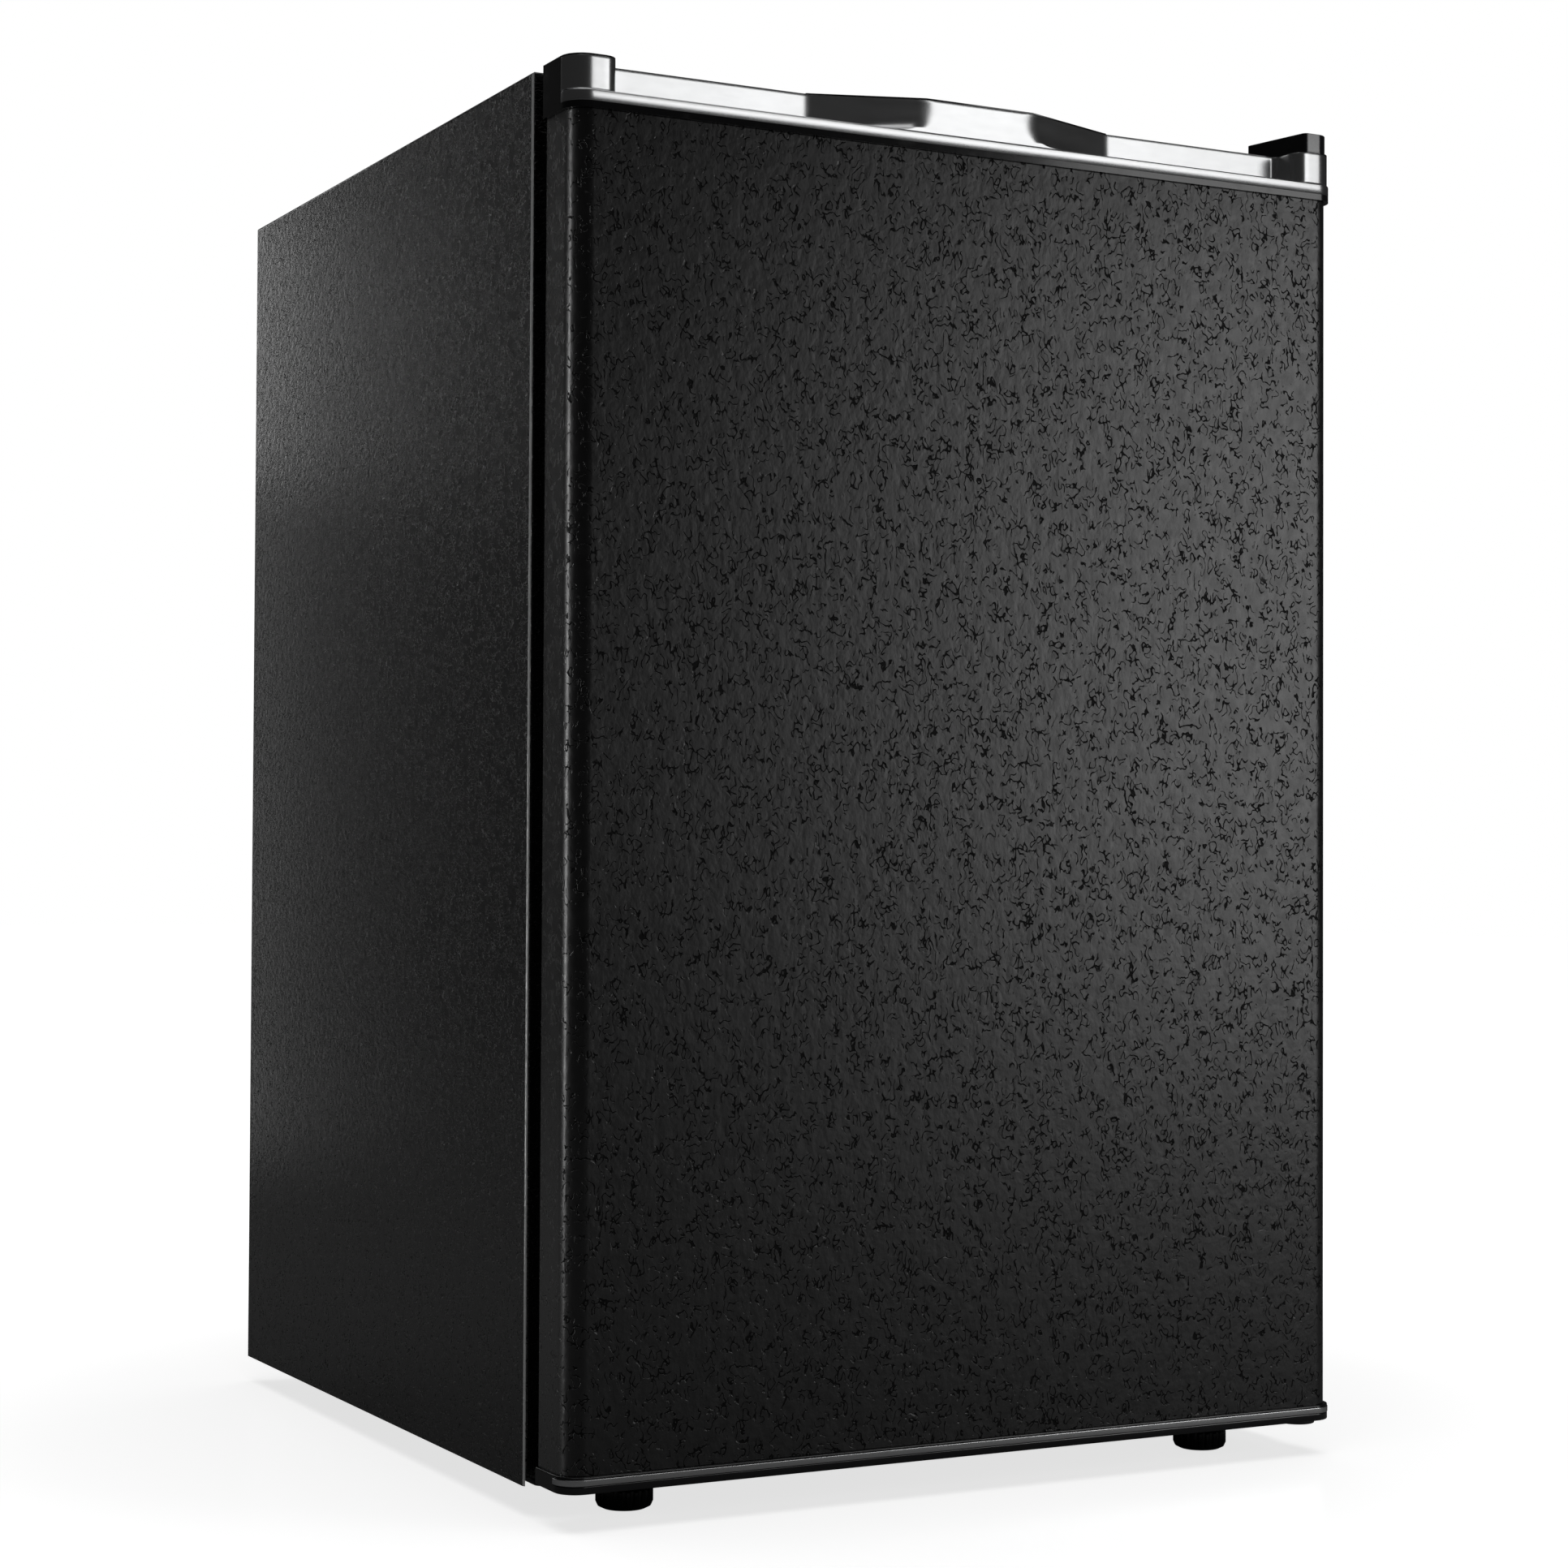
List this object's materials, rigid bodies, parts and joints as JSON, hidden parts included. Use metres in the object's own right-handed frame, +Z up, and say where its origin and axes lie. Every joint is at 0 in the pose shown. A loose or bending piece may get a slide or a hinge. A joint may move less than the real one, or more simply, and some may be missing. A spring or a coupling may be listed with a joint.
{
  "type": "compact refrigerator",
  "caption": "Free-standing under-counter refrigerator with one right-hinged textured door, a bright top grip, levelling feet, shelves and a rear cooling circuit.",
  "frame": {"origin": "on the floor, under the middle of the whole object's box", "axes": "+X towards the hinge side, +Y towards the back, +Z up; the door faces -Y"},
  "size_m": [0.54, 0.589, 0.85],
  "materials": {
    "black_textured_steel": "satin",
    "black_painted_steel": "satin",
    "zinc_steel": "satin",
    "black_plastic": "gloss",
    "bright_chrome": "polished",
    "black_rubber": "matte",
    "ferrite": "matte",
    "white_plastic": "satin",
    "clear_plastic": "gloss",
    "shelf_glass": "gloss",
    "foam": "matte",
    "copper": "satin",
    "aluminium": "satin"
  },
  "bodies": {
    "cabinet": {"cabinet_shell": "black_textured_steel", "bottom_hinge_bracket": "black_painted_steel", "left_foot_bracket": "black_painted_steel", "compressor_tray": "black_painted_steel", "front_base_rail": "black_painted_steel", "back_panel": "black_painted_steel", "compressor": "black_painted_steel", "condenser_tube": "black_painted_steel", "condenser_wires": "black_painted_steel", "base_pan": "zinc_steel", "compartment_liner": "zinc_steel", "top_hinge_bracket": "zinc_steel", "top_hinge_pin": "zinc_steel", "top_hinge_screws": "zinc_steel", "bottom_hinge_pin": "zinc_steel", "bracket_screws": "zinc_steel", "compressor_bolts": "zinc_steel", "condenser_screws": "zinc_steel", "top_hinge_cover": "black_plastic", "terminal_cover": "black_plastic", "condenser_brackets": "black_plastic", "drain_tray": "black_plastic", "cord_gland": "black_plastic", "rear_feet": "black_plastic", "compressor_grommets": "black_rubber", "inner_liner": "white_plastic", "thermostat_housing": "white_plastic", "shelf_trims": "white_plastic", "drain_pipe": "white_plastic", "thermostat": "white_plastic", "light_lens": "clear_plastic", "shelf_glass": "shelf_glass", "insulation_left": "foam", "insulation_right": "foam", "insulation_top": "foam", "insulation_back": "foam", "insulation_step": "foam", "insulation_floor": "foam", "filter_drier": "copper", "discharge_pipe": "copper", "suction_pipe": "copper", "capillary_pipe": "copper", "evaporator_plate": "aluminium"},
    "door": {"door_skin": "black_textured_steel", "door_insulation": "foam", "door_liner": "white_plastic", "door_top_cap": "black_plastic", "handle_trim": "bright_chrome", "door_bottom_cap": "black_plastic", "bottom_trim": "bright_chrome", "door_gasket": "black_rubber", "gasket_magnet": "ferrite", "hinge_bushes": "white_plastic", "hinge_hole_plug": "black_plastic"},
    "upper_rack": {"upper_door_rack": "clear_plastic"},
    "middle_rack": {"middle_door_rack": "clear_plastic"},
    "lower_rack": {"lower_door_rack": "clear_plastic"},
    "knob": {"thermostat_knob": "white_plastic"},
    "left_foot_screw": {"front_left_foot_stud": "zinc_steel"},
    "left_foot_wheel": {"front_left_foot_wheel": "black_plastic"},
    "right_foot_screw": {"front_right_foot_stud": "zinc_steel"},
    "right_foot_wheel": {"front_right_foot_wheel": "black_plastic"}
  },
  "joints": [
    {"name": "door_hinge", "type": "hinge", "parent": "cabinet", "child": "door", "pos_m": [0.254, -0.2725, 0.43], "axis": [0, 0, 1], "range_deg": [0, 120]},
    {"name": "thermostat_turn", "type": "hinge", "parent": "cabinet", "child": "knob", "pos_m": [0.184, -0.0845, 0.733], "axis": [-1, 0, 0], "range_deg": [0, 300]},
    {"name": "upper_rack_lift", "type": "slide", "parent": "door", "child": "upper_rack", "axis": [0, 0, 1], "range_m": [0, 0.02]},
    {"name": "middle_rack_lift", "type": "slide", "parent": "door", "child": "middle_rack", "axis": [0, 0, 1], "range_m": [0, 0.02]},
    {"name": "lower_rack_lift", "type": "slide", "parent": "door", "child": "lower_rack", "axis": [0, 0, 1], "range_m": [0, 0.02]},
    {"name": "left_foot_travel", "type": "slide", "parent": "cabinet", "child": "left_foot_screw", "axis": [0, 0, -1], "range_m": [0, 0.01]},
    {"name": "left_foot_turn", "type": "hinge", "parent": "left_foot_screw", "child": "left_foot_wheel", "pos_m": [-0.205, -0.2355, 0.007], "axis": [0, 0, -1], "range_deg": [0, 2880]},
    {"name": "right_foot_travel", "type": "slide", "parent": "cabinet", "child": "right_foot_screw", "axis": [0, 0, -1], "range_m": [0, 0.01]},
    {"name": "right_foot_turn", "type": "hinge", "parent": "right_foot_screw", "child": "right_foot_wheel", "pos_m": [0.205, -0.2355, 0.007], "axis": [0, 0, -1], "range_deg": [0, 2880]}
  ]
}
